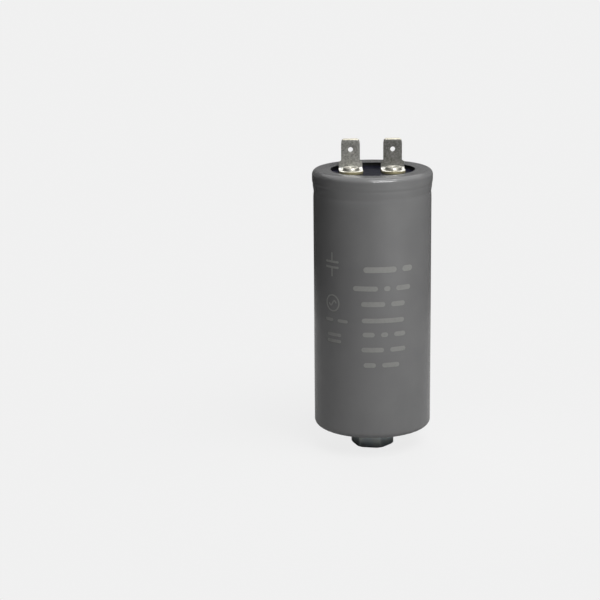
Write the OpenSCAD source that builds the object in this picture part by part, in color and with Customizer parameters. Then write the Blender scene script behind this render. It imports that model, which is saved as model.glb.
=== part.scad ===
// Motor-run film capacitor: a drawn aluminium can in a shrink sleeve, with two push-on
// terminals on top and a mounting stud below.
// Millimetres. The part stands on its nut, with the origin at the middle of the nut's end face.

/* [Can] */
// Outside diameter of the can
can_d = 40; // [36:0.5:60]
// Height of the can from its base to its rolled rim
can_h = 90; // [75:1:140]
// Thickness of the can's wall
can_wall = 0.5; // [0.3:0.05:0.7]
// Thickness of the can's base
base_t = 1.2; // [0.8:0.1:3]
// Outside corner radius at the base
base_r = 1.5; // [1:0.1:3]
// How far the rolled rim stands out beyond the body
rim_flare = 0.4; // [0:0.05:0.8]
// Outside radius of the rolled rim
curl_r = 1.5; // [1:0.1:2]
// Width of the flange that is rolled in over the gasket
curl_w = 4; // [3:0.1:5]

/* [Groove that carries the cover] */
// Radius at the bottom of the groove
bead_r = 1; // [0.8:0.1:1.5]
// Depth of the groove
bead_depth = 2.2; // [1.8:0.1:3]
// Radius of the groove's shoulders
bead_shoulder_r = 0.8; // [0.75:0.05:1.2]

/* [Sleeve] */
// Wall thickness of the shrink sleeve
sleeve_t = 0.3; // [0.15:0.05:0.6]
// How far the upper lip runs past the can's rolled flange
sleeve_overhang = 1.9; // [1:0.1:3.5]
// Droop of that lip, as a share of the can's wall
lip_droop_share = 0.3; // [0.1:0.05:0.8]
// Width of the lower lip, from the side of the can
sleeve_foot_w = 6.8; // [3:0.1:9]
// How far the sleeve sags into the groove
sleeve_sag = 0.12; // [0:0.02:0.4]

/* [Cover and gasket] */
// Thickness of the cover
cover_t = 4; // [2.5:0.1:6]
// Chamfer on the cover's edges
cover_chamfer = 0.6; // [0.4:0.1:1]
// Thickness of the gasket
gasket_t = 0.6; // [0.4:0.1:2]
// How far the gasket shows inside the rolled flange
gasket_show = 1.7; // [0.5:0.1:3]

/* [Terminals] */
// Distance between the two rivets
tab_pitch = 14.5; // [12:0.5:18]
// Width of a blade
tab_w = 6.4; // [4.8:0.1:7]
// Thickness of the terminal sheet
tab_t = 0.8; // [0.5:0.1:1]
// Height of a blade's tip above the cover
tab_h = 11.3; // [10:0.1:16]
// Width of the terminal's foot
foot_w = 8.1; // [7.4:0.1:9]
// Height of the shoulders above the cover
shoulder_h = 3.1; // [2.6:0.1:5]
// Height of the slope from the foot's width to the blade's
shoulder_slope = 0.6; // [0.4:0.1:1.5]
// Inside radius of the bend
bend_r = 0.6; // [0.3:0.1:0.8]
// Distance from the rivet's centre to the blade's front
blade_setback = 3.5; // [3.2:0.1:5]
// Diameter of the latching hole
latch_hole_d = 1.7; // [1.2:0.1:2]
// Distance from the tip to the latching hole's centre
latch_hole_drop = 3.8; // [3:0.1:4.5]
// Amount that each side draws in at the tip
tip_taper_w = 0.3; // [0.2:0.1:1]
// Height of the drawn-in tip
tip_taper_h = 1.7; // [1:0.1:2]
// Depth of the bevel on the tip's front and back, as a share of the sheet's thickness
tip_bevel_share = 0.44; // [0.1:0.02:0.46]
// Height of that bevel
tip_bevel_h = 0.45; // [0.3:0.05:1]

/* [Rivets] */
// Diameter of a rivet's shank
rivet_d = 3.8; // [3:0.1:4.2]
// Diameter of the bore in its clinched end
rivet_bore_d = 2.9; // [1.8:0.1:2.9]
// Depth of that bore below the foot's top
rivet_bore_depth = 2; // [0.5:0.1:2.5]
// Diameter of the clinched rim
rivet_rim_d = 5.4; // [4.8:0.1:6]
// Height of that rim's upright side
rivet_wall_h = 0.6; // [0.2:0.1:1]
// Diameter of the head inside the can
rivet_head_d = 6.4; // [5:0.1:7]
// Thickness of that head
rivet_head_t = 0.8; // [0.4:0.1:1.2]

/* [Lugs and leads] */
// Thickness of a solder lug
lug_t = 0.5; // [0.3:0.1:0.8]
// Diameter of a lug's ring
lug_d = 7; // [6.5:0.1:8]
// Width of a lug's tail
lug_tail_w = 3; // [2:0.1:4]
// Length of the tail below the cover
lug_tail_l = 5; // [3:0.1:6]
// Diameter of a lead
wire_d = 1.4; // [0.8:0.1:1.8]
// Radius of a lead's bends at its middle
wire_bend_r = 2; // [1.5:0.1:2.5]
// Reach of the right lead's foot under the winding
wire_foot = 9; // [6:0.5:12]

/* [Winding] */
// Outside diameter of the core tube
core_d = 9; // [7:0.5:12]
// Wall of the core tube
core_wall = 1; // [0.5:0.1:1.5]
// Thickness of the sprayed end contacts
spray_t = 0.6; // [0.3:0.1:1.5]
// Room between the upper end contact and the cover
head_space = 13; // [12.5:0.5:25]
// Room between the lower end contact and the liner
floor_space = 2.2; // [2.1:0.1:5]

/* [Liner and resin] */
// Thickness of the insulating liner
liner_t = 0.6; // [0.3:0.1:1.5]
// Resin between the winding and the liner
resin_gap = 1.8; // [0.5:0.1:3]
// Depth of resin over the upper end contact
resin_over = 4.4; // [4.2:0.1:6]

/* [Stud, washer and nut] */
// Diameter of the stud
stud_d = 8; // [5:0.5:12]
// How far the stud's end lies inside the nut's end face
stud_recess = 0.6; // [0:0.1:2]
// Chamfer on the stud's end
stud_chamfer = 0.8; // [0.3:0.1:1.2]
// Width of the nut across its flats
nut_af = 13; // [12.6:0.1:19]
// Height of the nut
nut_h = 6.5; // [4:0.1:10]
// Diameter of the flat on the nut's end faces, as a share of its width across flats
nut_face_share = 1.06; // [0.9:0.01:1.12]
// Chamfer at the mouths of the nut's bore
nut_bore_chamfer = 0.5; // [0.2:0.1:0.8]
// Turn of the nut about the stud
nut_turn = -12; // [-30:1:30]
// Outside diameter of the toothed washer
washer_d = 15; // [14:0.5:22]
// Thickness of the washer's sheet
washer_t = 0.8; // [0.4:0.1:1.2]
// Width of the washer's closed ring
washer_ring_w = 1.6; // [1:0.1:2]
// Number of teeth on the washer
washer_teeth = 10; // [8:1:14]
// Share of each tooth's pitch that is metal
tooth_share = 0.64; // [0.4:0.02:0.75]
// Twist of each tooth
tooth_twist = 12; // [4:1:20]

/* [Clearances] */
// Between the sleeve and the can
shrink_gap = 0.05; // [0.02:0.01:0.1]
// Between the cover and the can's wall
cover_gap = 0.1; // [0.05:0.05:0.3]
// Between the liner and the can
liner_gap = 0.1; // [0.05:0.05:0.3]
// Between a rivet's shank and its holes
rivet_gap = 0.05; // [0.02:0.01:0.1]
// Between the resin and what it holds
resin_fit = 0.05; // [0.02:0.01:0.1]
// Between the stud and the nut's bore
thread_gap = 0.05; // [0.02:0.01:0.1]
// Between the stud and the washer's hole
washer_gap = 0.2; // [0.1:0.05:0.5]

/* [Hidden] */

// Straight steps in each rounded stretch of a section
arc_steps = 8;
// A value above 12 gives true circles
round_fn = 96;
// Room past a face where one body cuts another
cut = 1;

// Radii of the can
can_r = can_d / 2;
can_bore_r = can_r - can_wall;
can_floor_r = base_r - can_wall;
rim_r = can_r + rim_flare;
curl_in_r = rim_r - curl_w;

// Heights above the can's base
gasket_top = can_h - can_wall;
cover_top = gasket_top - gasket_t;
cover_bottom = cover_top - cover_t;
bead_z = cover_bottom - can_wall - bead_r;
bead_low = bead_z - bead_r - bead_shoulder_r;
bead_high = bead_z + bead_r + bead_shoulder_r;
curl_z = can_h - curl_r;

// Sleeve
sleeve_top_r = curl_in_r - sleeve_overhang;
lip_z = can_h - can_wall * lip_droop_share;
sleeve_foot_r = can_r - sleeve_foot_w;

// Gasket and cover
gasket_out_r = rim_r - curl_r;
gasket_in_r = curl_in_r - gasket_show;
cover_r = can_bore_r - cover_gap;

// Terminals and rivets
foot_top = cover_top + tab_t;
blade_back = blade_setback + tab_t;
tab_tip = cover_top + tab_h;
tip_bevel_d = tab_t * tip_bevel_share;
shoulder_z = cover_top + shoulder_h;
rivet_r = rivet_d / 2;
rivet_hole_r = rivet_r + rivet_gap;
rivet_bore_r = rivet_bore_d / 2;
rivet_rim_r = rivet_rim_d / 2;
rivet_roll_r = (rivet_rim_r - rivet_bore_r) / 2;
lug_bottom = cover_bottom - lug_t;

// Leads: their distance in front of the rivets, and their angle and distance from the axis
wire_r = wire_d / 2;
lug_tail_y = -lug_d / 2;
lead_y = lug_tail_y - lug_t - wire_r;
lead_turn = atan2(lead_y, tab_pitch / 2);
lead_reach = norm([tab_pitch / 2, lead_y]);

// Liner, winding and resin
liner_r = can_bore_r - liner_gap;
liner_bore_r = liner_r - liner_t;
liner_floor = base_t + liner_t;
winding_r = liner_bore_r - resin_gap;
core_r = core_d / 2;
core_bore_r = core_r - core_wall;
stack_bottom = liner_floor + floor_space;
stack_top = cover_bottom - head_space;
winding_bottom = stack_bottom + spray_t;
winding_top = stack_top - spray_t;
resin_top = stack_top + resin_over;
lead_cross_z = stack_top + resin_over / 2;
lead_foot_z = stack_bottom - wire_r;

// Stud, washer and nut
stud_r = stud_d / 2;
nut_bore_r = stud_r + thread_gap;
nut_corner_r = nut_af / 2 / cos(30);
nut_face_r = nut_af / 2 * nut_face_share;
nut_chamfer_h = (nut_corner_r - nut_face_r) * tan(30);
washer_r = washer_d / 2;
washer_hole_r = stud_r + washer_gap;
washer_ring_r = washer_hole_r + washer_ring_w;
tooth_half_angle = 180 / washer_teeth * tooth_share;
tooth_half_w = washer_r * sin(tooth_half_angle);
washer_h = 2 * tooth_half_w * sin(tooth_twist) + washer_t * cos(tooth_twist);
base_z = nut_h + washer_h;
stud_len = base_z - stud_recess;

// Points on an arc about centre c, from angle a to angle b
function arc(c, r, a, b) =
  [for (i = [0 : arc_steps]) let (t = a + (b - a) * i / arc_steps) c + r * [cos(t), sin(t)]];

function reversed(points) = [for (i = [len(points) - 1 : -1 : 0]) points[i]];

// Stretches of the can's wall, each moved out from its outer face by off
function base_corner(off) = arc([can_r - base_r, base_r], base_r + off, -90, 0);

function groove(off) = concat(
  arc([can_r - bead_shoulder_r, bead_low], bead_shoulder_r + off, 0, 90),
  arc([can_r - bead_depth + bead_r, bead_z], bead_r - off, 270, 90),
  arc([can_r - bead_shoulder_r, bead_high], bead_shoulder_r + off, -90, 0)
);

function flare(off) =
  [for (i = [0 : arc_steps]) let (t = i / arc_steps)
    [can_r + off + rim_flare * (1 - cos(180 * t)) / 2, bead_high + (curl_z - bead_high) * t]];

function rolled_rim(off) = concat(
  flare(off),
  arc([rim_r - curl_r, curl_z], curl_r + off, 0, 90),
  [[curl_in_r, can_h + off]]
);

// The sleeve spans the groove with a shallow sag
function sag(off) =
  [for (i = [0 : 2 * arc_steps]) let (t = i / (2 * arc_steps))
    [can_r + off - sleeve_sag * (1 - cos(360 * t)) / 2, bead_low + (bead_high - bead_low) * t]];

// The sleeve's face from its lower lip to its upper one, which runs past the flange over the gasket
function sleeve_side(off) = concat(
  [[sleeve_foot_r, -off]],
  base_corner(off),
  sag(off),
  rolled_rim(off),
  [[sleeve_top_r, lip_z + off]]
);

// A body of revolution from the points of its half section, measured from the can's base
module turned(points) {
  translate([0, 0, base_z])
    rotate_extrude($fn = round_fn)
      polygon(points);
}

// A ring with a plain rectangular section
module ring(inner_r, outer_r, low, high) {
  turned([[inner_r, low], [outer_r, low], [outer_r, high], [inner_r, high]]);
}

// Puts a child at the left (-1) or right (1) rivet
module at_rivet(side) {
  translate([side * tab_pitch / 2, 0, base_z])
    children();
}

// Turns a (y, z) outline into a plate across x
module across(width) {
  rotate([90, 0, 90])
    linear_extrude(width, center = true)
      children();
}

module can() {
  color("silver")
    turned(concat(
      [[0, 0]],
      base_corner(0),
      groove(0),
      rolled_rim(0),
      reversed(rolled_rim(-can_wall)),
      reversed(groove(-can_wall)),
      arc([can_bore_r - can_floor_r, base_t + can_floor_r], can_floor_r, 0, -90),
      [[0, base_t]]
    ));
}

// Mounting stud on the can's base, with its thread left out
module stud() {
  color("silver")
    turned([
      [0, -stud_len],
      [stud_r - stud_chamfer, -stud_len],
      [stud_r, stud_chamfer - stud_len],
      [stud_r, 0],
      [0, 0]
    ]);
}

module sleeve() {
  color("dimgray")
    turned(concat(sleeve_side(shrink_gap + sleeve_t), reversed(sleeve_side(shrink_gap))));
}

module cover() {
  color([0.12, 0.12, 0.14])
    difference() {
      turned([
        [0, cover_bottom],
        [cover_r - cover_chamfer, cover_bottom],
        [cover_r, cover_bottom + cover_chamfer],
        [cover_r, cover_top - cover_chamfer],
        [cover_r - cover_chamfer, cover_top],
        [0, cover_top]
      ]);
      for (side = [-1, 1])
        at_rivet(side)
          translate([0, 0, cover_bottom - cut])
            cylinder(h = cover_t + 2 * cut, r = rivet_hole_r, $fn = round_fn);
    }
}

// Sealing ring under the rolled flange, squeezed up beside it to the sleeve's lip
module gasket() {
  color([0.05, 0.05, 0.05])
    turned([
      [gasket_in_r, cover_top],
      [gasket_out_r, cover_top],
      [gasket_out_r, gasket_top],
      [curl_in_r, gasket_top],
      [curl_in_r, lip_z],
      [gasket_in_r, lip_z]
    ]);
}

// Side view of the bent sheet: foot, bend and blade with its bevelled tip
module terminal_bend() {
  across(foot_w)
    polygon(concat(
      [[-foot_w, cover_top]],
      arc([blade_setback - bend_r, foot_top + bend_r], bend_r + tab_t, -90, 0),
      [
        [blade_back, tab_tip - tip_bevel_h],
        [blade_back - tip_bevel_d, tab_tip],
        [blade_setback + tip_bevel_d, tab_tip],
        [blade_setback, tab_tip - tip_bevel_h]
      ],
      arc([blade_setback - bend_r, foot_top + bend_r], bend_r, 0, -90),
      [[-foot_w, foot_top]]
    ));
}

// Front view: foot width, sloping shoulders, blade and drawn-in tip
module terminal_front() {
  right_side = [
    [foot_w / 2, cover_top - cut],
    [foot_w / 2, shoulder_z],
    [tab_w / 2, shoulder_z + shoulder_slope],
    [tab_w / 2, tab_tip - tip_taper_h],
    [tab_w / 2 - tip_taper_w, tab_tip + cut / 100]
  ];
  rotate([90, 0, 0])
    linear_extrude(4 * foot_w, center = true)
      polygon(concat(right_side, reversed([for (p = right_side) [-p[0], p[1]]])));
}

// Top view: a foot with a round nose
module terminal_top() {
  translate([0, 0, cover_top - cut])
    linear_extrude(tab_h + 2 * cut)
      union() {
        circle(d = foot_w, $fn = round_fn);
        translate([-foot_w / 2, 0])
          square([foot_w, blade_back + cut]);
      }
}

module terminal(side) {
  color([0.72, 0.72, 0.68])
    at_rivet(side)
      difference() {
        intersection() {
          terminal_bend();
          terminal_front();
          terminal_top();
        }
        translate([0, 0, cover_top - cut])
          cylinder(h = tab_t + 2 * cut, r = rivet_hole_r, $fn = round_fn);
        translate([0, blade_back + cut, tab_tip - latch_hole_drop])
          rotate([90, 0, 0])
            cylinder(h = tab_t + 2 * cut, d = latch_hole_d, $fn = round_fn);
      }
}

// Half-tubular rivet: head inside the can, clinched rim on the terminal's foot
module rivet(side) {
  roll = [rivet_bore_r + rivet_roll_r, foot_top + rivet_wall_h];
  color([0.8, 0.8, 0.76])
    translate([side * tab_pitch / 2, 0, 0])
      turned(concat(
        [
          [0, lug_bottom - rivet_head_t],
          [rivet_head_d / 2, lug_bottom - rivet_head_t],
          [rivet_head_d / 2, lug_bottom],
          [rivet_r, lug_bottom],
          [rivet_r, foot_top],
          [rivet_rim_r, foot_top]
        ],
        arc(roll, rivet_roll_r, 0, 180),
        [[rivet_bore_r, foot_top - rivet_bore_depth], [0, foot_top - rivet_bore_depth]]
      ));
}

// Solder lug: a ring under the cover with a tail bent down at the front
module lug(side) {
  color([0.75, 0.7, 0.55])
    at_rivet(side)
      difference() {
        union() {
          translate([0, 0, lug_bottom])
            cylinder(h = lug_t, d = lug_d, $fn = round_fn);
          translate([-lug_tail_w / 2, lug_tail_y - lug_t, lug_bottom])
            cube([lug_tail_w, lug_d / 2 + lug_t - rivet_r, lug_t]);
          translate([-lug_tail_w / 2, lug_tail_y - lug_t, cover_bottom - lug_tail_l])
            cube([lug_tail_w, lug_t, lug_tail_l]);
        }
        translate([0, 0, lug_bottom - cut])
          cylinder(h = lug_t + 2 * cut, r = rivet_hole_r, $fn = round_fn);
      }
}

// Straight upright stretch of wire
module wire_up(x, low, high, r) {
  translate([x, 0, low])
    cylinder(h = high - low, r = r, $fn = round_fn);
}

// Straight level stretch of wire along x
module wire_along(x_low, x_high, z, r) {
  translate([x_low, 0, z])
    rotate([0, 90, 0])
      cylinder(h = x_high - x_low, r = r, $fn = round_fn);
}

// Quarter bend of wire about (x, z), starting at the given angle in the wire's upright plane
module wire_bend(x, z, start, r) {
  translate([x, 0, z])
    rotate([90, 0, 0])
      rotate([0, 0, start])
        rotate_extrude(angle = 90, $fn = round_fn)
          translate([wire_bend_r, 0])
            circle(r = r, $fn = round_fn);
}

// The left lead drops straight onto the upper end contact
module lead_left_wire(grow) {
  translate([-tab_pitch / 2, lead_y, base_z])
    wire_up(0, stack_top, lug_bottom, wire_r + grow);
}

// The right lead crosses to the axis, runs down the core and turns out under the winding
module lead_right_wire(grow) {
  r = wire_r + grow;
  b = wire_bend_r;
  translate([0, 0, base_z])
    rotate([0, 0, lead_turn])
      union() {
        wire_up(lead_reach, lead_cross_z + b, lug_bottom, r);
        wire_bend(lead_reach - b, lead_cross_z + b, 270, r);
        wire_along(b, lead_reach - b, lead_cross_z, r);
        wire_bend(b, lead_cross_z - b, 90, r);
        wire_up(0, lead_foot_z + b, lead_cross_z - b, r);
        wire_bend(b, lead_foot_z + b, 180, r);
        wire_along(b, wire_foot + grow, lead_foot_z, r);
      }
}

module lead_left() {
  color("firebrick")
    lead_left_wire(0);
}

module lead_right() {
  color("royalblue")
    lead_right_wire(0);
}

module end_spray_top() {
  color("lightslategray")
    ring(core_r, winding_r, winding_top, stack_top);
}

module end_spray_bottom() {
  color("lightslategray")
    ring(core_r, winding_r, stack_bottom, winding_bottom);
}

module winding() {
  color("lightsteelblue")
    ring(core_r, winding_r, winding_bottom, winding_top);
}

module core_tube() {
  color("ivory")
    ring(core_bore_r, core_r, stack_bottom, stack_top);
}

// Insulating cup that stands on the can's base
module liner() {
  color("khaki")
    turned(concat(
      [[0, base_t]],
      arc([liner_r - can_floor_r, base_t + can_floor_r], can_floor_r, -90, 0),
      [[liner_r, resin_top], [liner_bore_r, resin_top], [liner_bore_r, liner_floor], [0, liner_floor]]
    ));
}

// Resin around, under and over the winding, and down its core
module potting() {
  color("goldenrod")
    difference() {
      ring(0, liner_bore_r - resin_fit, liner_floor, resin_top);
      ring(core_bore_r - resin_fit, winding_r + resin_fit, stack_bottom - resin_fit, stack_top + resin_fit);
      lead_left_wire(resin_fit);
      lead_right_wire(resin_fit);
    }
}

// Lock washer: a flat ring with twisted teeth that bite the base and the nut
module tooth_washer() {
  color([0.78, 0.78, 0.74])
    translate([0, 0, nut_h + washer_h / 2])
      difference() {
        union() {
          translate([0, 0, -washer_t / 2])
            cylinder(h = washer_t, r = washer_ring_r, $fn = round_fn);
          for (i = [0 : washer_teeth - 1])
            rotate([0, 0, 360 * i / washer_teeth])
              rotate([tooth_twist, 0, 0])
                linear_extrude(washer_t, center = true)
                  polygon(concat([[0, 0]], arc([0, 0], washer_r, -tooth_half_angle, tooth_half_angle)));
        }
        cylinder(h = 2 * washer_h, r = washer_hole_r, center = true, $fn = round_fn);
      }
}

// Hexagon nut with chamfered corners and a countersunk bore
module hex_nut() {
  mouth_r = nut_bore_r + nut_bore_chamfer;
  color([0.8, 0.82, 0.8])
    intersection() {
      rotate([0, 0, nut_turn])
        cylinder(h = nut_h, r = nut_corner_r, $fn = 6);
      rotate_extrude($fn = round_fn)
        polygon([
          [mouth_r, 0],
          [nut_face_r, 0],
          [nut_corner_r + cut * tan(60), nut_chamfer_h + cut],
          [nut_corner_r + cut * tan(60), nut_h - nut_chamfer_h - cut],
          [nut_face_r, nut_h],
          [mouth_r, nut_h],
          [nut_bore_r, nut_h - nut_bore_chamfer],
          [nut_bore_r, nut_bore_chamfer]
        ]);
    }
}

can();
stud();
sleeve();
cover();
gasket();
terminal(-1);  // terminal_left
terminal(1);  // terminal_right
rivet(-1);  // rivet_left
rivet(1);  // rivet_right
lug(-1);  // lug_left
lug(1);  // lug_right
lead_left();
lead_right();
end_spray_top();
end_spray_bottom();
winding();
core_tube();
liner();
potting();
tooth_washer();
hex_nut();
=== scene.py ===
"""Looks of a motor-run film capacitor: pieces, materials, light, floor and camera.

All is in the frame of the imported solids: +Z runs up the can's axis from the nut's end face.
Shapes are worked out in millimetres and made in metres.
"""
import math

import bmesh
import bpy
import numpy as np
from mathutils import Matrix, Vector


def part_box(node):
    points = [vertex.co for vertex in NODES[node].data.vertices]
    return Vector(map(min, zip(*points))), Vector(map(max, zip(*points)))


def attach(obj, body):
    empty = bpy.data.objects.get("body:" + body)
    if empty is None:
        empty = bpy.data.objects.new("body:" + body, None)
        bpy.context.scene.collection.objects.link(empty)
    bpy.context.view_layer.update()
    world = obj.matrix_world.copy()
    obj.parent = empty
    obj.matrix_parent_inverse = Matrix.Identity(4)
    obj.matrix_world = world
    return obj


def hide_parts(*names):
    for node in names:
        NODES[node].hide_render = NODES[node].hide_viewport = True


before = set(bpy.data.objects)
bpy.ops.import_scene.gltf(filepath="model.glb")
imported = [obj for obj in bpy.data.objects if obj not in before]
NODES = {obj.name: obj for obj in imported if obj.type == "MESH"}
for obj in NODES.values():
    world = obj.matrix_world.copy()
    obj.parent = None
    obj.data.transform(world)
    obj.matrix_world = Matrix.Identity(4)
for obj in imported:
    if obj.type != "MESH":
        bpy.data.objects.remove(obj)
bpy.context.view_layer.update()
MM = 0.001

# Sleeve, in millimetres: heights are measured from its own lowest and highest plane
sleeve_low, sleeve_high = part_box("sleeve")
SLEEVE_LOW = sleeve_low.z / MM
SLEEVE_TOP = sleeve_high.z / MM
RIM_R = sleeve_high.x / MM
RIM_FLARE = 0.4
BODY_R = RIM_R - RIM_FLARE
WALL = 0.3
CORNER_R = 1.85
FLANGE_R = 16.4
UPPER_LIP_R = 14.5
UPPER_LIP_DROP = 0.15
UPPER_LIP_FLAT = 0.5
LOWER_LIP_R = 13.2
GROOVE_LOW = SLEEVE_TOP - 8.75
GROOVE_HIGH = SLEEVE_TOP - 5.15
FLARE_LOW = SLEEVE_TOP - 7.4
FLARE_HIGH = SLEEVE_TOP - 3.0
RIM_Z = SLEEVE_TOP - CORNER_R
FOOT_Z = SLEEVE_LOW + CORNER_R

# Unevenness of the film, in millimetres
# Rings pressed through it: depth below the top, depth of the ring, half width
RINGS = ((7.65, 0.13, 0.95), (4.75, 0.08, 0.5))
# Waves round the axis: height, waves to a turn, drift with the height, phase
LIP_WAVES = ((0.1, 3, 0, 0.6), (0.07, 5, 0, 2.1), (0.04, 11, 0, 0))
LIP_RISE = ((0.05, 4, 0, 1),)
DENTS = ((0.018, 2, 0.06, 0), (0.012, 3, -0.11, 1))
LIP_LIFT = 0.05
DENT_INSET = 0.03
LOWER_WAVE_SHARE = 1.4
# Fine creases at the rim and at the lower fold
RIPPLES = {"height": 0.02, "count": 41, "sway": (2, 3), "swell": (0.6, 0.4, 5, 1)}
PUCKERS = {"height": 0.035, "count": 53, "sway": (3, 4), "swell": (0.55, 0.45, 7, 0)}
CROWN_RIPPLE_SHARE = 0.12
LIP_PUCKER_SHARE = 0.6
# Where they set in, and the length over which they grow to the full
LOWER_INSET, LOWER_BLEND = 1, 5
FOLD_REACH, FOLD_BLEND = 1.5, 3
CROWN_BLEND = 4
SIDE_MARGIN = 0.2

# Print, in millimetres: rows of bars as height, width and the bars' ends along the arc
PRINT_LIFT = 0.02
PRINT_SINK = 0.06
PRINT_STEP = 0.35
PRINT_ROWS = (
    (67.1, 2.0, ((-3.0, 8.4), (10.6, 14.6))),
    (60.6, 1.7, ((-6.6, 1.9), (4.0, 6.2), (8.3, 13.8))),
    (55.2, 1.7, ((-3.8, 4.4), (6.5, 11.6))),
    (49.5, 1.6, ((-3.6, 11.3),)),
    (44.6, 1.6, ((-3.3, 0.8), (3.0, 5.4), (7.6, 11.8))),
    (39.3, 1.6, ((-3.7, 4.0), (6.2, 11.9))),
    (33.9, 1.6, ((-3.0, 1.2), (3.4, 9.5))),
    (48.7, 1.1, ((-18.2, -14.6), (-12.6, -8.6))),
)
SIDE_ROWS = ((43.6, 1.1, ((-17.3, -11.2),)), (41.4, 1.1, ((-17.3, -11.2),)))
PLATE_SYMBOL_AT = (-15.0, 68.0)
WAVE_SYMBOL_AT = (-14.8, 54.6)

# Rivets and terminals, in millimetres
SHEET = 0.8
RIVET_X = (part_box("rivet_right")[0].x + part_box("rivet_right")[1].x) / 2 / MM
FOOT_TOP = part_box("terminal_left")[0].z / MM + SHEET
TAB_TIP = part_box("terminal_left")[1].z / MM
TIP_EASE_H = 0.5
TIP_EASE_SHARE = 0.2
BLADE_BEVEL = 0.09
# Tone of each blade's tinned sheet: the right blade is painted darker as shade, though it is the
# same tinned brass as the left
SHEET_SHADE_TONES = {"left": 0.78, "right": 0.48}

# Nut, washer and stud, in millimetres
NUT_BORE_R = 4.05
THREAD_PITCH = 1.25
NUT_BEVEL = 0.12
WASHER_BEVEL = 0.06

# Camera, in metres and pixels, fitted to the photograph's outline; the picture is square
IMAGE_PX = 600
SENSOR_MM = 36.0
CAMERA_DISTANCE = 600 * MM
CAMERA_HEIGHT = 198.1 * MM
AIM_HEIGHT = 51.88 * MM
FOCAL_PX = 1770.3
AXIS_PX = 372.33
# The camera stands a little to the left of the part's front; lamps, cards and print turn along
VIEW_TURN = math.radians(4)
VIEW_MATRIX = Matrix.Rotation(-VIEW_TURN, 4, "Z")

# Floor and world: PALE is what the camera and mirrors see, AMBIENT and FLOOR_MATT what light sees
PALE = 0.875
AMBIENT = 0.17
FLOOR_HALF = 20.0
FLOOR_MATT = 0.51
# Near the part less of the pale tone shows: tone in its place, distances in metres, pale shares
FLOOR_SHADOWED, SHADOW_REACH, SHADOW_PALE = 0.72, (0.03, 0.12), (0.92, 1.0)
FLOOR_SHADE, SHADE_REACH, SHADE_PALE = 0.34, (0.03, 0.055), (0.0, 0.11)

# Cards out of the camera's sight that sleeve and metal mirror, in millimetres and degrees
TENT_R, TENT_WALL, TENT_TOP = 900, 5, 650
CARD_LOW, CARD_TOP = 0.5, 1
GROUND_CARD_R = (200, 899)
GREY_CARD_R, GREY_CARD_Z, GREY_CARD_TURN = 890, (2, 420), (120, 240)
# Ground card: tone by the azimuth, counted from the front to the right, and at its inner edge
CARD_TONES = ((0, 0.035), (32, 0.8), (48, 0.8), (80, 0.15), (150, 0.15), (175, 0.035))
CARD_EDGE_TONE = 0.26
CARD_EDGE_REACH = (200, 310)

# Lamps: azimuth to the right and elevation in degrees, distance and size in metres, how bright
# each makes a white surface that faces it, and whether mirrors see it
LAMP_AIM_HEIGHT = 0.055
SOFTBOXES = {
    "key_light": (22.5, 38, 0.32, (0.21, 0.047), 0.63, True),
    "crown_light": (32.5, 62, 0.55, (0.4, 0.1), 0.36, True),
    "side_light": (54, 52, 0.36, (0.26, 0.26), 0.58, False),
    "back_light": (190, 35, 0.8, (0.6, 0.4), 0.45, False),
}


# Meshes

def linked(name, data):
    """A new object with the given data, in the scene."""
    made = bpy.data.objects.new(name, data)
    bpy.context.scene.collection.objects.link(made)
    return made


def new_piece(name, mesh, material, slot, *replaced):
    """Links a mesh as a piece on the one body, in place of the named solids."""
    piece = linked(name, mesh)
    mesh.materials.append(material)
    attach(piece, "root")
    if replaced:
        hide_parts(*replaced)


def smooth_mesh(mesh, sharp_deg):
    """Smooth shading, with edges sharper than the angle kept crisp."""
    mesh.polygons.foreach_set("use_smooth", [True] * len(mesh.polygons))
    mesh.set_sharp_from_angle(angle=math.radians(sharp_deg))
    mesh.update()


def mesh_of(name, points_mm, faces, sharp_deg=40):
    """A shaded mesh from points in millimetres."""
    mesh = bpy.data.meshes.new(name)
    mesh.from_pydata([tuple(p) for p in np.asarray(points_mm) * MM], [], faces)
    smooth_mesh(mesh, sharp_deg)
    return mesh


def arc(cr, cz, radius, start_deg, end_deg, steps):
    """Points on an arc in the (r, z) section."""
    turn = np.radians(np.linspace(start_deg, end_deg, steps + 1))
    return [(cr + radius * math.cos(t), cz + radius * math.sin(t)) for t in turn]


def turned_mesh(name, section, segments, centre=(0, 0), relief=None, sharp_deg=40):
    """Turns a closed (r, z) section about an upright axis; points at r = 0 become poles."""
    theta = np.arange(segments) * 2 * math.pi / segments
    points, rows = [], []
    for r, z in section:
        if r <= 0:
            rows.append([len(points)] * segments)
            points.append((centre[0], centre[1], z))
            continue
        rr, zz = np.full(segments, r), np.full(segments, z)
        if relief:
            rr, zz = relief(rr, zz, theta)
        rows.append(list(range(len(points), len(points) + segments)))
        points.extend(zip(centre[0] + rr * np.cos(theta), centre[1] + rr * np.sin(theta), zz))
    faces = []
    for low, high in zip(rows, rows[1:] + rows[:1]):
        for i in range(segments):
            j = (i + 1) % segments
            loop = [low[i], low[j], high[j], high[i]]
            corners = [v for k, v in enumerate(loop) if v != loop[k - 1]]
            if len(set(corners)) > 2:
                faces.append(corners)
    return mesh_of(name, points, faces, sharp_deg)


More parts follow.
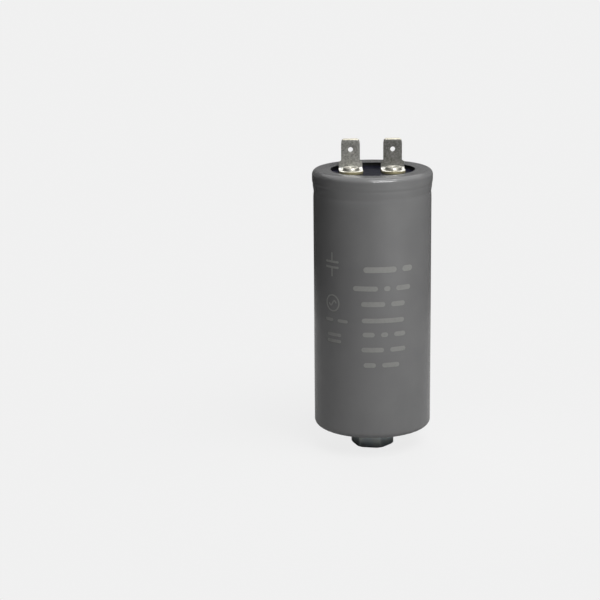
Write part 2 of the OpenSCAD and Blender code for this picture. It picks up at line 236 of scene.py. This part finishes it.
def refined_mesh(node_name, bevel_mm, sharp_deg=30):
    """A copy of a solid's mesh, joined up, freed of flat triangles, its sharp edges eased."""
    weld_mm, flat_deg = 0.0005, 0.4
    shape = bmesh.new()
    shape.from_mesh(NODES[node_name].data)
    bmesh.ops.remove_doubles(shape, verts=shape.verts, dist=weld_mm * MM)
    bmesh.ops.dissolve_limit(
        shape, angle_limit=math.radians(flat_deg), verts=shape.verts, edges=shape.edges
    )
    sharp = [
        e for e in shape.edges
        if len(e.link_faces) == 2 and e.calc_face_angle(0) > math.radians(sharp_deg)
    ]
    bmesh.ops.bevel(
        shape, geom=sharp, offset=bevel_mm * MM, segments=3, profile=0.6,
        affect="EDGES", clamp_overlap=True,
    )
    bmesh.ops.triangulate(shape, faces=[f for f in shape.faces if len(f.verts) > 4])
    mesh = bpy.data.meshes.new(node_name + "_eased")
    shape.to_mesh(mesh)
    shape.free()
    smooth_mesh(mesh, sharp_deg)
    return mesh


# Sleeve

def smooth_step(t):
    """Goes from 0 to 1 with level ends."""
    t = np.clip(t, 0, 1)
    return t * t * (3 - 2 * t)


def side_radius(z):
    """Radius of the sleeve's outer face between the base corner and the rim."""
    flare = (z - FLARE_LOW) / (FLARE_HIGH - FLARE_LOW)
    return BODY_R + RIM_FLARE * (1 - math.cos(math.pi * min(max(flare, 0), 1))) / 2


def sleeve_section():
    """Closed section of the sleeve: the outer face from the lower lip up, then back inside."""
    plain_z = np.linspace(FOOT_Z, GROOVE_LOW, 48)[1:]
    upper_z = np.linspace(GROOVE_LOW, RIM_Z, 44)[1:]
    low_r = np.linspace(LOWER_LIP_R + WALL / 2, BODY_R - CORNER_R, 8)
    top_r = np.linspace(FLANGE_R, UPPER_LIP_R + WALL / 2, 14)
    slope = (FLANGE_R - top_r) / (FLANGE_R - UPPER_LIP_R - UPPER_LIP_FLAT)
    top_z = SLEEVE_TOP - UPPER_LIP_DROP * smooth_step(slope)

    def face(inset):
        low = [(r, SLEEVE_LOW + inset) for r in low_r]
        corner = arc(BODY_R - CORNER_R, FOOT_Z, CORNER_R - inset, -90, 0, 12)[1:]
        side = [(side_radius(z) - inset, z) for z in (*plain_z, *upper_z)]
        rim = arc(RIM_R - CORNER_R, RIM_Z, CORNER_R - inset, 0, 90, 16)[1:]
        return low + corner + side + rim + [(r, z - inset) for r, z in zip(top_r, top_z)]

    def lip_edge(lip_r, z):
        return arc(lip_r + WALL / 2, z, WALL / 2, 90, 270, 6)[1:-1]

    outer, inner = face(0), face(WALL)[::-1]
    upper_edge = lip_edge(UPPER_LIP_R, outer[-1][1] - WALL / 2)
    lower_edge = lip_edge(LOWER_LIP_R, SLEEVE_LOW + WALL / 2)
    return outer + upper_edge + inner + lower_edge


def waves(terms, theta, z=0):
    """Sum of long waves round the axis."""
    return sum(
        height * np.sin(count * theta + drift * z + phase) for height, count, drift, phase in terms
    )


def creases(theta, height, count, sway, swell):
    """Fine waves round the axis, unevenly spaced, that swell and fade along the way."""
    reach, sways = sway
    mean, change, swells, phase = swell
    fine = height * np.sin(count * theta + reach * np.sin(sways * theta))
    return fine * (mean + change * np.sin(swells * theta + phase))


def sleeve_relief(r, z, theta):
    """Slight unevenness of the shrunk film: wavy lips, puckers at the fold, soft dents."""
    theta = theta + VIEW_TURN
    upper = np.clip((FLANGE_R - r) / (FLANGE_R - UPPER_LIP_R), 0, 1) * (z > RIM_Z)
    lower = np.clip((BODY_R - LOWER_INSET - r) / LOWER_BLEND, 0, 1) * (z < FOOT_Z)
    fold = np.clip((FOOT_Z + FOLD_REACH - z) / FOLD_BLEND, 0, 1)
    crown = np.clip((z - GROOVE_HIGH) / CROWN_BLEND, 0, 1) * (r > FLANGE_R)
    side = r > BODY_R - SIDE_MARGIN
    rings = sum(
        depth * np.exp(-((SLEEVE_TOP - z - drop) / half) ** 2) for drop, depth, half in RINGS
    )
    wave = waves(LIP_WAVES, theta)
    ripple = creases(theta, **RIPPLES)
    pucker = creases(theta, **PUCKERS)
    rr = r + wave * (upper + LOWER_WAVE_SHARE * lower) + waves(DENTS, theta, z) - DENT_INSET
    rr = rr + pucker * fold - CROWN_RIPPLE_SHARE * abs(ripple) * crown - rings * side
    lift = LIP_LIFT + waves(LIP_RISE, theta)
    zz = z + upper * (lift + ripple) - LIP_PUCKER_SHARE * abs(pucker) * lower
    return rr, zz


# Print: plain strokes laid on the sleeve, each a line of (arc, height) points in millimetres

def resampled(line, step):
    """Points every step along a line of straight stretches."""
    line = np.asarray(line, float)
    run = np.concatenate([[0], np.cumsum(np.linalg.norm(np.diff(line, axis=0), axis=1))])
    at = np.linspace(0, run[-1], max(2, int(math.ceil(run[-1] / step)) + 1))
    return np.stack([np.interp(at, run, line[:, k]) for k in (0, 1)], 1), at


def round_ends(spots, at, half):
    """Closer points at both ends of an open line, with half widths that round it off."""
    cap_points, bluntness = 6, 0.02
    cap = half * (1 - np.cos(np.linspace(0, math.pi / 2, cap_points)))
    middle = at[(at > half) & (at < at[-1] - half)]
    stops = np.unique(np.concatenate([cap, middle, at[-1] - cap]))
    edge = np.clip(np.minimum(stops, at[-1] - stops) / half, bluntness, 1)
    spots = np.stack([np.interp(stops, at, spots[:, k]) for k in (0, 1)], 1)
    return spots, half * np.sqrt(1 - (1 - edge) ** 2)


def on_sleeve(u, v, lift):
    """The point at arc u and height v, lifted off the sleeve's outer face."""
    turn = u / BODY_R - math.pi / 2 - VIEW_TURN
    r, z = sleeve_relief(np.array([side_radius(v)]), np.array([v]), np.array([turn]))
    r = r[0] + lift
    return r * math.cos(turn), r * math.sin(turn), z[0]


def stroke(points, faces, line, width, closed=False):
    """Adds a thin solid band with round ends that follows the line on the sleeve."""
    spots, at = resampled(line, PRINT_STEP)
    if closed:
        spots = spots[:-1]
        widths = np.full(len(spots), width / 2)
    else:
        spots, widths = round_ends(spots, at, width / 2)
    ahead = np.roll(spots, -1, 0) - np.roll(spots, 1, 0)
    if not closed:
        ahead[0], ahead[-1] = spots[1] - spots[0], spots[-1] - spots[-2]
    ahead /= np.linalg.norm(ahead, axis=1)[:, None]
    across = np.stack([-ahead[:, 1], ahead[:, 0]], 1) * widths[:, None]
    first = len(points)
    for spot, side in zip(spots, across):
        for way, lift in ((1, PRINT_LIFT), (-1, PRINT_LIFT), (-1, -PRINT_SINK), (1, -PRINT_SINK)):
            points.append(on_sleeve(*(spot + way * side), lift))
    count = len(spots)
    for i in range(count if closed else count - 1):
        a, b = first + 4 * i, first + 4 * ((i + 1) % count)
        faces.extend([(a + k, a + (k + 1) % 4, b + (k + 1) % 4, b + k) for k in range(4)])
    if not closed:
        last = first + 4 * (count - 1)
        faces.append((first + 3, first + 2, first + 1, first))
        faces.append((last, last + 1, last + 2, last + 3))


def print_marks():
    """Rows of plain bars, with the plate symbol and the wave symbol beside them."""
    points, faces = [], []

    def bars(rows):
        for z, width, words in rows:
            for low, high in words:
                stroke(points, faces, [(low, z), (high, z)], width)

    bars(PRINT_ROWS)
    x, z = PLATE_SYMBOL_AT
    half, gap, lead_ends, plate_w, lead_w = 2.9, 0.95, (1.1, 4.2), 0.75, 0.6
    for way in (-1, 1):
        level = z + gap * way
        stroke(points, faces, [(x - half, level), (x + half, level)], plate_w)
        stroke(points, faces, [(x, z + end * way) for end in lead_ends], lead_w)
    x, z = WAVE_SYMBOL_AT
    ring_r, half, height, ring_w, wave_w = 2.75, 1.6, 0.85, 0.5, 0.55
    turn = np.linspace(0, 2 * math.pi, 73)
    ring = np.stack([x + ring_r * np.cos(turn), z + ring_r * np.sin(turn)], 1)
    stroke(points, faces, ring, ring_w, closed=True)
    along = np.linspace(-1, 1, 41)
    sine = np.stack([x + half * along, z + height * np.sin(math.pi * along)], 1)
    stroke(points, faces, sine, wave_w)
    bars(SIDE_ROWS)
    return mesh_of("print_marks", points, faces)


# Terminals, rivets and the nut's thread

def blade_mesh(side, x):
    """The terminal with eased edges, and the corners of its tip drawn in a little more."""
    mesh = refined_mesh("terminal_" + side, BLADE_BEVEL)
    for vertex in mesh.vertices:
        near_tip = smooth_step((vertex.co.z / MM - TAB_TIP + TIP_EASE_H) / TIP_EASE_H)
        vertex.co.x += (x * MM - vertex.co.x) * TIP_EASE_SHARE * near_tip
    smooth_mesh(mesh, sharp_deg=30)
    return mesh


def rivet_mesh(name, x):
    """Half-tubular rivet with a clinched rim: eased edges, a leaning wall and a pressed top."""
    shank_r, bore_r, base_r, rim_r, head_r = 1.9, 1.45, 2.93, 2.7, 3.2
    rim_edge, base_edge, head_edge, dish_r, lean_deg = 0.3, 0.1, 0.15, 0.5, 16
    head_h, bore_depth, bore_chamfer, seat_gap = 0.8, 2.0, 0.3, 0.01
    head_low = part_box("rivet_left")[0].z / MM
    head_top = head_low + head_h
    rim_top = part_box("rivet_left")[1].z / MM
    seat, bore_end = FOOT_TOP + seat_gap, FOOT_TOP - bore_depth
    section = [(0, head_low), (head_r - head_edge, head_low)]
    section += arc(head_r - head_edge, head_low + head_edge, head_edge, -60, 0, 3)
    section += [(head_r, head_top), (shank_r, head_top), (shank_r, seat)]
    section += arc(base_r - base_edge, seat + base_edge, base_edge, -90, lean_deg, 5)
    section += arc(rim_r - rim_edge, rim_top - rim_edge, rim_edge, lean_deg, 90, 8)
    section += arc(bore_r + dish_r, rim_top - dish_r, dish_r, 90, 180, 10)
    section += [(bore_r, bore_end + bore_chamfer), (bore_r - bore_chamfer, bore_end), (0, bore_end)]
    return turned_mesh(name, section, segments=72, centre=(x, 0))


def nut_thread_mesh():
    """The nut's first turn of thread, which shows between its mouth and the stud's end."""
    turns, steps, run_in, thinnest = 1.1, 96, 14, 0.2
    start_z, half_h, root_depth, crest_h = 0.28, 0.42, 0.1, 0.6
    root_r = NUT_BORE_R + root_depth
    points, faces = [], []
    for i in range(int(turns * steps) + 1):
        turn = 2 * math.pi * i / steps
        z = start_z + THREAD_PITCH * i / steps
        grow = min(1, i / run_in)
        for r, dz in ((root_r, -half_h), (NUT_BORE_R - crest_h * grow, 0), (root_r, half_h)):
            points.append((r * math.cos(turn), r * math.sin(turn), z + dz * max(grow, thinnest)))
    rings = len(points) // 3
    for i in range(rings - 1):
        a, b = 3 * i, 3 * (i + 1)
        faces.extend([(a + k, b + k, b + (k + 1) % 3, a + (k + 1) % 3) for k in range(3)])
    faces.append((0, 1, 2))
    faces.append((3 * rings - 1, 3 * rings - 2, 3 * rings - 3))
    return mesh_of("nut_thread", points, faces, sharp_deg=30)


# Shader nodes

def node(tree, kind, inputs=None, **settings):
    """Adds a shader node; inputs are numbers, colours or other nodes' outputs."""
    made = tree.nodes.new("ShaderNode" + kind)
    for key, value in settings.items():
        setattr(made, key, value)
    for key, value in (inputs or {}).items():
        feed(tree, made.inputs[key], value)
    return made


def feed(tree, socket, value):
    """Links an output to the socket, or sets the socket to a number or colour."""
    if isinstance(value, bpy.types.NodeSocket):
        tree.links.new(value, socket)
    else:
        socket.default_value = value


def join(tree, **sockets):
    """Feeds the Principled shader's sockets, named in lower case with underscores."""
    shader = next(n for n in tree.nodes if n.bl_idname == "ShaderNodeBsdfPrincipled")
    for key, value in sockets.items():
        feed(tree, shader.inputs[key.replace("_", " ").title().replace("Ior", "IOR")], value)


def new_material(name, **constants):
    """A material with one Principled shader; constants go on the shader's own sockets."""
    made = bpy.data.materials.new(name)
    made.use_nodes = True
    tree = made.node_tree
    tree.nodes.clear()
    shader = node(tree, "BsdfPrincipled")
    node(tree, "OutputMaterial", {"Surface": shader.outputs[0]})
    join(tree, **constants)
    return made, tree


def grey(tone):
    return tone, tone, tone, 1


def place(tree, stretch=(1, 1, 1)):
    """Object coordinates in millimetres, squeezed by the stretch."""
    coords = node(tree, "TexCoord").outputs["Object"]
    scale = tuple(1 / MM * s for s in stretch)
    return node(tree, "Mapping", {"Vector": coords, "Scale": scale}).outputs[0]


def noise(tree, at, scale, detail=2.0, roughness=0.5):
    settings = {"Vector": at, "Scale": scale, "Detail": detail, "Roughness": roughness}
    return node(tree, "TexNoise", settings).outputs[0]


def spread(tree, value, low, high, from_low=0.3, from_high=0.7):
    """Maps a value's range, by default a noise's usual one, to low .. high."""
    return node(tree, "MapRange", {
        "Value": value, "From Min": from_low, "From Max": from_high, "To Min": low, "To Max": high,
    }).outputs[0]


def ramp(tree, value, stops):
    """A colour by the value, between stops of (value, colour)."""
    made = node(tree, "ValToRGB", {"Fac": value})
    elements = made.color_ramp.elements
    while len(elements) < len(stops):
        elements.new(0.5)
    for element, (at, colour) in zip(elements, stops):
        element.position = at
        element.color = (*colour, 1)
    return made.outputs[0]


def mixed(tree, share, first, second):
    """Mix of two numbers or two colours; the second counts by the share."""
    colour = isinstance(second, tuple) or getattr(second, "type", "VALUE") == "RGBA"
    made = node(tree, "Mix", data_type="RGBA" if colour else "FLOAT")
    sockets = [s for s in made.inputs if s.enabled]
    for socket, value in zip(sockets, (share, first, second)):
        feed(tree, socket, value)
    return next(s for s in made.outputs if s.enabled)


def mixed_shader(tree, share, first, second):
    return node(tree, "MixShader", {"Fac": share, 1: first, 2: second}).outputs[0]


def bump(tree, height, depth_mm, normal=None):
    inputs = {"Height": height, "Distance": depth_mm * MM, "Strength": 1.0}
    if normal is not None:
        inputs["Normal"] = normal
    return node(tree, "Bump", inputs).outputs[0]


def axes_of(tree, at):
    return node(tree, "SeparateXYZ", {0: at}).outputs


def length_of(tree, vector):
    return node(tree, "VectorMath", {0: vector}, operation="LENGTH").outputs["Value"]


def seen_rays(tree):
    """1 for camera, mirror and glass rays, 0 for the rays that carry light."""
    path = node(tree, "LightPath").outputs
    seen = path["Is Camera Ray"]
    for kind in ("Is Glossy Ray", "Is Transmission Ray"):
        both = node(tree, "Math", {0: seen, 1: path[kind]}, operation="ADD", use_clamp=True)
        seen = both.outputs[0]
    return seen


# Materials of the part

def plain_finish(name, dark, light, grain_mm, rough, depth_mm, stretch=(1, 1, 1), **constants):
    """Mottled colour, uneven gloss and a fine grain, all at the given grain size."""
    made, tree = new_material(name, **constants)
    at = place(tree, stretch)
    cloud = noise(tree, at, 0.25 / grain_mm, 3)
    grain = noise(tree, at, 1 / grain_mm, 3, 0.6)
    join(
        tree,
        base_color=ramp(tree, cloud, [(0.3, dark), (0.7, light)]),
        roughness=spread(tree, grain, *rough),
        normal=bump(tree, grain, depth_mm),
    )
    return made


def grey_pvc():
    """Satin shrink film: faint clouding, drawn-out streaks and a fine orange peel."""
    made, tree = new_material("grey_pvc", specular_ior_level=0.5)
    at = place(tree)
    cloud = noise(tree, at, 0.08, 3)
    peel = noise(tree, at, 1.6, 2)
    streak = noise(tree, place(tree, (1, 1, 0.02)), 1.2, 2)
    speck = noise(tree, at, 4.5, 1)
    colour = ramp(tree, cloud, [(0.3, (0.1205, 0.1205, 0.1215)), (0.7, (0.135, 0.135, 0.135))])
    gloss = spread(tree, noise(tree, at, 0.3, 3), 0.12, 0.18)
    relief = bump(tree, peel, 0.004, bump(tree, streak, 0.003, bump(tree, speck, 0.001)))
    join(tree, base_color=colour, roughness=gloss, normal=relief)
    return made


def print_ink():
    """Thin pale ink, a little rubbed off."""
    made, tree = new_material("print_ink", specular_ior_level=0.4)
    wear_and_sheen = noise(tree, place(tree), 0.9, 4, 0.65)
    colour = ramp(tree, wear_and_sheen, [(0.3, (0.165, 0.165, 0.16)), (0.5, (0.19, 0.19, 0.182))])
    gloss = spread(tree, wear_and_sheen, 0.55, 0.45)
    join(tree, base_color=colour, roughness=gloss, normal=bump(tree, wear_and_sheen, 0.004))
    return made


def tinned_sheet(name, tone):
    """Rolled, tinned brass: lengthwise lines, dull mottling, small pits; painted shade darkens the
    right blade, the pressed foot's top is painted near white as a highlight with painted shade
    before the rivet and on the edge, and the tip has a tone of its own for its highlight.
    """
    made, tree = new_material(name)
    at = place(tree)
    mottle = noise(tree, at, 1.4, 4, 0.7)
    lines = noise(tree, place(tree, (1, 1, 0.05)), 9, 2)
    pits = noise(tree, at, 3.2, 3, 0.6)
    shades = [(0.36, (0.32, 0.315, 0.29)), (0.52, (0.54, 0.535, 0.5)), (0.64, (0.74, 0.73, 0.69))]
    # Mottled tone, scaled by the side's tone: painted shade on the right blade
    dull = ramp(tree, mottle, [(stop, tuple(tone * c for c in shade)) for stop, shade in shades])
    axes = axes_of(tree, at)
    height = axes["Z"]
    # Strip of the foot in front of the rivet, darkened below as painted shade
    nose = spread(tree, axes["Y"], 1.0, 0.0, -3.4, -2.8)
    # The foot, whose top is painted near white as its highlight
    foot = spread(tree, height, 1.0, 0.0, FOOT_TOP + 0.05, FOOT_TOP + 0.35)
    # The foot's cut edge, painted olive: partly the cut brass's own colour, partly painted shade
    edge = spread(tree, height, 1.0, 0.0, FOOT_TOP - 0.08, FOOT_TOP - 0.01)
    # The tip's band, given a tone of its own for its painted highlight
    tip = spread(tree, height, 0.0, 1.0, TAB_TIP - 0.5, TAB_TIP - 0.38)
    # Foot top painted near white as a highlight, with painted shade on the strip in front of the
    # rivet
    wear_and_sheen = mixed(tree, nose, (0.93, 0.92, 0.86, 1), (0.5, 0.47, 0.36, 1))
    # Olive on the foot's cut edge: the cut brass's colour and painted shade
    pressed = mixed(tree, edge, wear_and_sheen, (0.3, 0.27, 0.16, 1))
    # The tip's own tone is a painted highlight tone for the bevel's bright line
    colour = mixed(tree, tip, mixed(tree, foot, dull, pressed), (0.47, 0.45, 0.37, 1))
    gloss = mixed(tree, foot, spread(tree, mottle, 0.5, 0.38), 0.78)
    metal = mixed(tree, foot, 1.0, 0.75)
    relief = bump(tree, pits, 0.014, bump(tree, lines, 0.004))
    join(tree, base_color=colour, metallic=metal, roughness=gloss, normal=relief)
    return made


def bright_tin():
    """Smooth tinned rivet with fine handling marks and a top left matt by the clinching tool."""
    made, tree = new_material("bright_tin")
    at = place(tree)
    marks = noise(tree, at, 3, 4, 0.6)
    colour = ramp(tree, marks, [(0.3, (0.43, 0.415, 0.36)), (0.65, (0.57, 0.555, 0.5))])
    top = spread(tree, axes_of(tree, at)["Z"], 0.0, 1.0, FOOT_TOP + 0.95, FOOT_TOP + 1.15)
    gloss = mixed(tree, top, spread(tree, marks, 0.41, 0.35), 0.7)
    metal = mixed(tree, top, 0.85, 0.78)
    relief = bump(tree, marks, 0.004)
    join(tree, base_color=colour, metallic=metal, roughness=gloss, normal=relief)
    return made


def zinc_plate():
    """Bright zinc on steel: bluish and yellowish clouds, fine tumbling scratches."""
    made, tree = new_material("zinc_plate", metallic=1.0)
    cloud = noise(tree, place(tree), 0.35, 3)
    scratch = noise(tree, place(tree, (1, 0.12, 0.3)), 6, 3, 0.6)
    colour = ramp(tree, cloud, [
        (0.3, (0.54, 0.605, 0.625)), (0.5, (0.625, 0.68, 0.69)), (0.7, (0.69, 0.715, 0.69)),
    ])
    gloss = spread(tree, scratch, 0.42, 0.5)
    join(tree, base_color=colour, roughness=gloss, normal=bump(tree, scratch, 0.0006))
    return made


def drawn_aluminium():
    """Satin aluminium with rings left by drawing and turning about the axis."""
    made, tree = new_material("drawn_aluminium", metallic=1.0)
    at = place(tree)
    flat = node(tree, "VectorMath", {0: at, 1: (1, 1, 0)}, operation="MULTIPLY").outputs[0]
    turned = {"W": length_of(tree, flat), "Scale": 3.5, "Detail": 4, "Roughness": 0.6}
    rings = node(tree, "TexNoise", turned, noise_dimensions="1D").outputs[0]
    cloud = noise(tree, at, 0.3, 3)
    colour = ramp(tree, cloud, [(0.3, (0.7, 0.705, 0.71)), (0.7, (0.8, 0.8, 0.8))])
    gloss = spread(tree, rings, 0.3, 0.44)
    join(tree, base_color=colour, roughness=gloss, normal=bump(tree, rings, 0.012))
    return made


def pressed_laminate():
    """Dark cover board: near-black with a navy cast, faint cloth print and satin resin skin."""
    made, tree = new_material("pressed_laminate", specular_ior_level=0.15)
    at = place(tree)
    cloud = noise(tree, at, 0.35, 3)
    threads = {"Vector": at, "Scale": 0.55, "Distortion": 0.6}
    warp, weft = (
        node(tree, "TexWave", threads, bands_direction=axis).outputs[1] for axis in "XY"
    )
    weave = node(tree, "Math", {0: warp, 1: weft}, operation="MULTIPLY").outputs[0]
    colour = ramp(tree, cloud, [(0.3, (0.006, 0.0065, 0.012)), (0.7, (0.011, 0.011, 0.021))])
    relief = bump(tree, weave, 0.004, bump(tree, noise(tree, at, 3, 3), 0.002))
    join(tree, base_color=colour, roughness=spread(tree, cloud, 0.2, 0.28), normal=relief)
    return made


def dress_solids():
    """Materials for the solids that are shown as they are, by the start of their names."""
    aluminium = drawn_aluminium()
    wire = {"grain_mm": 0.5, "rough": (0.3, 0.42), "depth_mm": 0.004}
    finishes = {
        "can": aluminium,
        "stud": aluminium,
        "cover": pressed_laminate(),
        # Near-black rubber, made darker than plain rubber so that it also stands for the shadow
        # under the lip: partly painted shadow
        "gasket": plain_finish(
            "black_rubber", (0.002,) * 3, (0.004,) * 3, 0.25, (0.6, 0.8), 0.01,
            specular_ior_level=0.25,
        ),
        "lug": plain_finish(
            "lug_brass", (0.58, 0.44, 0.2), (0.72, 0.58, 0.32), 0.4, (0.25, 0.4), 0.006,
            metallic=1.0,
        ),
        "lead_left": plain_finish("red_wire", (0.4, 0.02, 0.02), (0.5, 0.035, 0.03), **wire),
        "lead_right": plain_finish("blue_wire", (0.02, 0.06, 0.4), (0.035, 0.09, 0.5), **wire),
        "end_spray": plain_finish(
            "zinc_spray", (0.3, 0.31, 0.33), (0.5, 0.51, 0.53), 0.3, (0.5, 0.8), 0.06,
            metallic=1.0,
        ),
        "winding": plain_finish(
            "wound_film", (0.42, 0.45, 0.5), (0.6, 0.63, 0.67), 0.3, (0.15, 0.3), 0.01,
            (0.1, 0.1, 1), metallic=0.6,
        ),
        "core_tube": plain_finish(
            "core_plastic", (0.7, 0.68, 0.6), (0.82, 0.8, 0.72), 0.5, (0.4, 0.5), 0.006
        ),
        "liner": plain_finish(
            "liner_sheet", (0.5, 0.44, 0.28), (0.66, 0.58, 0.38), 0.3, (0.5, 0.7), 0.01
        ),
        "potting": plain_finish(
            "cast_resin", (0.4, 0.24, 0.05), (0.55, 0.36, 0.1), 0.8, (0.15, 0.25), 0.008
        ),
    }
    for name, solid in NODES.items():
        match = [key for key in finishes if name.startswith(key)]
        if match:
            solid.data.materials.clear()
            solid.data.materials.append(finishes[match[0]])
            smooth_mesh(solid.data, sharp_deg=30)


def add_pieces():
    """The pieces that stand in for solids, and the print and the nut's thread."""
    pvc, ink, tin, zinc = grey_pvc(), print_ink(), bright_tin(), zinc_plate()
    sleeve = turned_mesh(
        "shrink_sleeve", sleeve_section(), segments=288, relief=sleeve_relief, sharp_deg=60
    )
    new_piece("shrink_sleeve", sleeve, pvc, "grey_sleeve", "sleeve")
    new_piece("print_marks", print_marks(), ink, "grey_sleeve")
    for side, x in (("left", -RIVET_X), ("right", RIVET_X)):
        sheet = tinned_sheet("tinned_sheet_" + side, SHEET_SHADE_TONES[side])
        blade = blade_mesh(side, x)
        rivet = rivet_mesh("tube_rivet_" + side, x)
        new_piece("blade_" + side, blade, sheet, "tinned_blade", "terminal_" + side)
        new_piece("tube_rivet_" + side, rivet, tin, "tinned_rivet", "rivet_" + side)
    nut, washer = refined_mesh("hex_nut", NUT_BEVEL), refined_mesh("tooth_washer", WASHER_BEVEL)
    new_piece("stud_nut", nut, zinc, "plated_steel", "hex_nut")
    new_piece("lock_washer", washer, zinc, "plated_steel", "tooth_washer")
    new_piece("nut_thread", nut_thread_mesh(), zinc, "plated_steel")


# Stage

def floor_material():
    """Pale for the camera, with a soft shadow near the part; mirrors see a shade close by."""
    made = bpy.data.materials.new("pale_floor")
    made.use_nodes = True
    tree = made.node_tree
    tree.nodes.clear()
    away = length_of(tree, node(tree, "NewGeometry").outputs["Position"])
    camera_ray = node(tree, "LightPath").outputs["Is Camera Ray"]
    glow = node(tree, "Emission", {"Color": grey(PALE), "Strength": 1.0}).outputs[0]
    lit, matt, shade = (
        node(tree, "BsdfDiffuse", {"Color": grey(tone)}).outputs[0]
        for tone in (FLOOR_SHADOWED, FLOOR_MATT, FLOOR_SHADE)
    )
    seen = mixed_shader(tree, spread(tree, away, *SHADOW_PALE, *SHADOW_REACH), lit, glow)
    mirrored = mixed_shader(tree, spread(tree, away, *SHADE_PALE, *SHADE_REACH), shade, glow)
    shown = mixed_shader(tree, camera_ray, mirrored, seen)
    both = mixed_shader(tree, seen_rays(tree), matt, shown)
    node(tree, "OutputMaterial", {"Surface": both})
    return made


def add_floor():
    half = FLOOR_HALF
    corners = [(-half, -half, 0), (half, -half, 0), (half, half, 0), (-half, half, 0)]
    mesh = bpy.data.meshes.new("floor")
    mesh.from_pydata(corners, [], [(0, 1, 2, 3)])
    mesh.materials.append(floor_material())
    floor = linked("floor", mesh)


def matt_card(name, dark, light):
    return plain_finish(
        name, (dark,) * 3, (light,) * 3, grain_mm=2.0, rough=(0.8, 0.9), depth_mm=0.05
    )


def graded_card():
    """Card whose tone goes by the azimuth, and fades to one tone towards its inner edge."""
    made, tree = new_material("graded_card", roughness=0.85)
    at = place(tree)
    axes = axes_of(tree, at)
    ahead = node(tree, "Math", {0: axes["Y"], 1: -1.0}, operation="MULTIPLY").outputs[0]
    turn = node(tree, "Math", {0: axes["X"], 1: ahead}, operation="ARCTAN2").outputs[0]
    stops = [(azimuth / 180, (tone,) * 3) for azimuth, tone in CARD_TONES]
    outer = ramp(tree, spread(tree, turn, 0.0, 1.0, 0.0, math.pi), stops)
    share = spread(tree, length_of(tree, at), 0.0, 1.0, *CARD_EDGE_REACH)
    join(tree, base_color=mixed(tree, share, grey(CARD_EDGE_TONE), outer))
    return made


def stage_card(name, mesh, material):
    """Links a card that only mirrors and light see, turned with the view."""
    mesh.materials.append(material)
    card = linked(name, mesh)
    card.visible_camera = False
    card.matrix_world = VIEW_MATRIX


def ring_mesh(name, inner_r, outer_r, low, high):
    section = [(inner_r, high), (outer_r, high), (outer_r, low), (inner_r, low)]
    return turned_mesh(name, section, segments=96)


def add_cards():
    """A dark tent round the set, a graded ring on the ground and a grey card behind the part."""
    tent = ring_mesh("dark_tent", TENT_R, TENT_R + TENT_WALL, CARD_LOW, TENT_TOP)
    stage_card("dark_tent", tent, matt_card("dark_card", 0.03, 0.04))
    ground = ring_mesh("ground_card", *GROUND_CARD_R, CARD_LOW, CARD_TOP)
    stage_card("ground_card", ground, graded_card())
    points = [
        (GREY_CARD_R * math.sin(turn), -GREY_CARD_R * math.cos(turn), z)
        for turn in np.radians(np.linspace(*GREY_CARD_TURN, 31)) for z in GREY_CARD_Z
    ]
    faces = [(i, i + 2, i + 3, i + 1) for i in range(0, len(points) - 2, 2)]
    behind = mesh_of("grey_card", points, faces)
    stage_card("grey_card", behind, matt_card("grey_card", 0.5, 0.54))


def add_world():
    """Pale for the camera and for mirrors, dim for light."""
    world = bpy.data.worlds.new("studio")
    bpy.context.scene.world = world
    world.use_nodes = True
    tree = world.node_tree
    tree.nodes.clear()
    dim, pale = (
        node(tree, "Background", {"Color": grey(tone), "Strength": 1.0}).outputs[0]
        for tone in (AMBIENT, PALE)
    )
    node(tree, "OutputWorld", {"Surface": mixed_shader(tree, seen_rays(tree), dim, pale)})


def add_softbox(name, azimuth, elevation, distance, size, level, mirrored):
    """Area lamp aimed at the part; level is how bright it makes a white surface that faces it."""
    lamp = bpy.data.lights.new(name, "AREA")
    lamp.shape = "RECTANGLE"
    lamp.size, lamp.size_y = size
    lamp.energy = level * (math.pi * distance) ** 2
    softbox = linked(name, lamp)
    softbox.matrix_world = (
        Matrix.Translation((0, 0, LAMP_AIM_HEIGHT))
        @ Matrix.Rotation(math.radians(azimuth) - VIEW_TURN, 4, "Z")
        @ Matrix.Rotation(math.pi / 2 - math.radians(elevation), 4, "X")
        @ Matrix.Translation((0, 0, distance))
    )
    softbox.visible_glossy = mirrored


def add_camera():
    data = bpy.data.cameras.new("camera")
    data.sensor_width = SENSOR_MM
    data.lens = FOCAL_PX * SENSOR_MM / IMAGE_PX
    data.clip_start, data.clip_end = 0.01, 60
    pitch = math.atan2(CAMERA_HEIGHT - AIM_HEIGHT, CAMERA_DISTANCE)
    yaw = math.atan((AXIS_PX - IMAGE_PX / 2) / FOCAL_PX)
    camera = linked("camera", data)
    camera.matrix_world = (
        VIEW_MATRIX
        @ Matrix.Translation((0, -CAMERA_DISTANCE, CAMERA_HEIGHT))
        @ Matrix.Rotation(math.pi / 2 - pitch, 4, "X")
        @ Matrix.Rotation(yaw, 4, "Y")
    )
    bpy.context.scene.camera = camera


dress_solids()
add_pieces()
add_floor()
add_cards()
add_world()
for lamp_name, lamp_values in SOFTBOXES.items():
    add_softbox(lamp_name, *lamp_values)
add_camera()
bpy.context.scene.view_settings.view_transform = "Standard"
